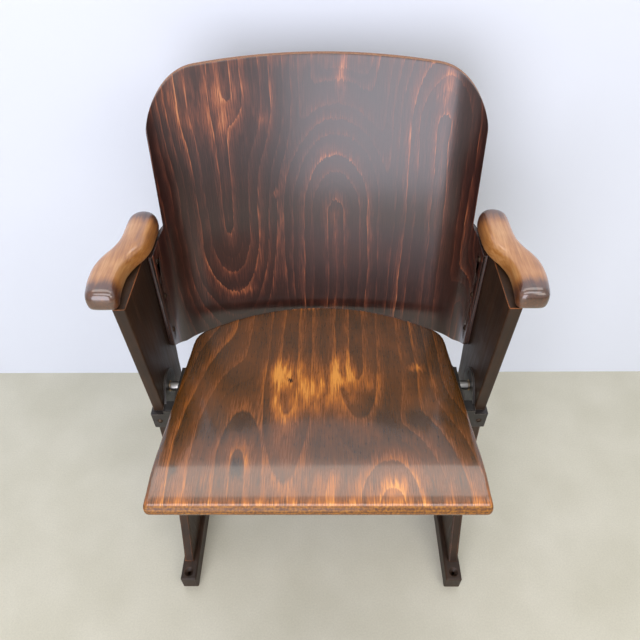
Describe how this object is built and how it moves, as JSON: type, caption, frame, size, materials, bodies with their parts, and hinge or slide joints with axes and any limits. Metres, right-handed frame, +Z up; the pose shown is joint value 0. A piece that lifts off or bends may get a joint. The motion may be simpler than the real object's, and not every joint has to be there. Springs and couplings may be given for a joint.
{
  "type": "tip up auditorium seat",
  "caption": "Single tip up auditorium seat with a moulded plywood back and seat, slim side boards on foot runners and curved wooden armrests.",
  "frame": {"origin": "on the floor, under the middle of the whole seat's box", "axes": "+Z up, -Y the way the sitter faces, +X on the right of someone who looks at the seat from the front"},
  "size_m": [0.5808, 0.4866, 0.8125],
  "materials": {
    "stained_beech": "dark stained and varnished, worn on the edges",
    "runner_beech": "dark red brown stained and varnished",
    "arm_beech": "varnished, worn golden in the middle",
    "raw_beech": "unfinished",
    "back_plywood": "beech veneer, dark stained, satin varnish",
    "seat_plywood": "beech veneer, dark stained, glossy varnish, worn",
    "cast_iron": "black paint, worn bright on the edges",
    "grey_cast_iron": "bare, ground",
    "turned_steel": "turned",
    "bush_brass": "turned",
    "buffer_rubber": "matt",
    "screw_steel": "dull"
  },
  "bodies": {
    "frame": {"side_board_left": "stained_beech", "side_board_right": "stained_beech", "foot_runner_left": "runner_beech", "foot_runner_right": "runner_beech", "foot_screws_left": "screw_steel", "foot_screws_right": "screw_steel", "armrest_left": "arm_beech", "armrest_right": "arm_beech", "armrest_dowels_left": "raw_beech", "armrest_dowels_right": "raw_beech", "backrest_shell": "back_plywood", "backrest_screws_left": "screw_steel", "backrest_screws_right": "screw_steel", "hinge_bracket_left": "cast_iron", "hinge_bracket_right": "cast_iron", "hinge_bracket_screws_left": "screw_steel", "hinge_bracket_screws_right": "screw_steel", "pivot_bush_left": "bush_brass", "pivot_bush_right": "bush_brass", "stop_buffer_left": "buffer_rubber", "stop_buffer_right": "buffer_rubber"},
    "seat": {"seat_shell": "seat_plywood", "seat_arm_left": "grey_cast_iron", "seat_arm_right": "grey_cast_iron", "seat_arm_screws_left": "screw_steel", "seat_arm_screws_right": "screw_steel", "pivot_pin_left": "turned_steel", "pivot_pin_right": "turned_steel"}
  },
  "joints": [
    {"name": "seat_tip", "type": "hinge", "parent": "frame", "child": "seat", "pos_m": [0, -0.01234, 0.397], "axis": [-1, 0, 0], "range_deg": [0, 82]}
  ]
}
